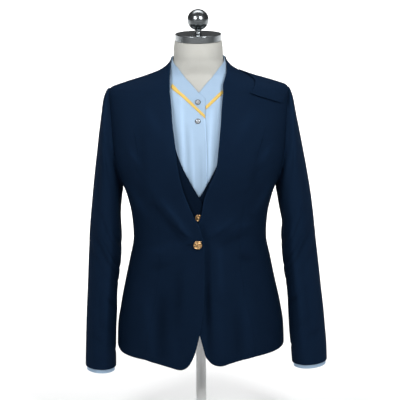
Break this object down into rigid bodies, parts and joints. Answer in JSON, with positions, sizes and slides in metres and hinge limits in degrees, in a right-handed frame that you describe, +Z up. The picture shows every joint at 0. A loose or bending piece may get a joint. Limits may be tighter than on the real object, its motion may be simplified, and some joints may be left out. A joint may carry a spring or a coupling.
{
  "type": "airline crew uniform on a dress form",
  "caption": "Collarless navy crew jacket, open at the waist, over a dark waistcoat and a light blue blouse, on a limbless dress form with a pole stand.",
  "frame": {"origin": "middle of the base plate's underside, on the pole's axis", "axes": "+Z up, the front faces -Y, +X towards the wearer's left"},
  "size_m": [0.528, 0.2666, 0.9072],
  "materials": {
    "navy_suiting": "matte twill",
    "dark_navy_suiting": "matte twill",
    "light_blue_poplin": "smooth cotton",
    "yellow_piping": "satin",
    "gold_metal": "polished",
    "crystal_glass": "faceted",
    "cream_jersey": "stretched knit",
    "chrome": "polished",
    "white_enamel": "satin enamel"
  },
  "bodies": {
    "root": {"blouse_back": "light_blue_poplin", "blouse_collar": "light_blue_poplin", "blouse_cuff_left": "light_blue_poplin", "blouse_cuff_right": "light_blue_poplin", "blouse_front_left": "light_blue_poplin", "blouse_front_right": "light_blue_poplin", "blouse_sleeve_left": "light_blue_poplin", "blouse_sleeve_right": "light_blue_poplin", "crystal_lower": "crystal_glass", "crystal_upper": "crystal_glass", "form_torso": "cream_jersey", "jacket_back_left": "navy_suiting", "jacket_back_right": "navy_suiting", "jacket_button": "gold_metal", "jacket_front_left": "navy_suiting", "jacket_front_right": "navy_suiting", "jacket_shoulder_flap": "navy_suiting", "jacket_side_left": "navy_suiting", "jacket_side_right": "navy_suiting", "jacket_sleeve_left": "navy_suiting", "jacket_sleeve_right": "navy_suiting", "neck_cap": "chrome", "piping_left": "yellow_piping", "piping_right": "yellow_piping", "stand_base": "white_enamel", "stand_pole": "white_enamel", "vest_back": "dark_navy_suiting", "vest_button": "gold_metal", "vest_front_left": "dark_navy_suiting", "vest_front_right": "dark_navy_suiting"}
  },
  "joints": []
}
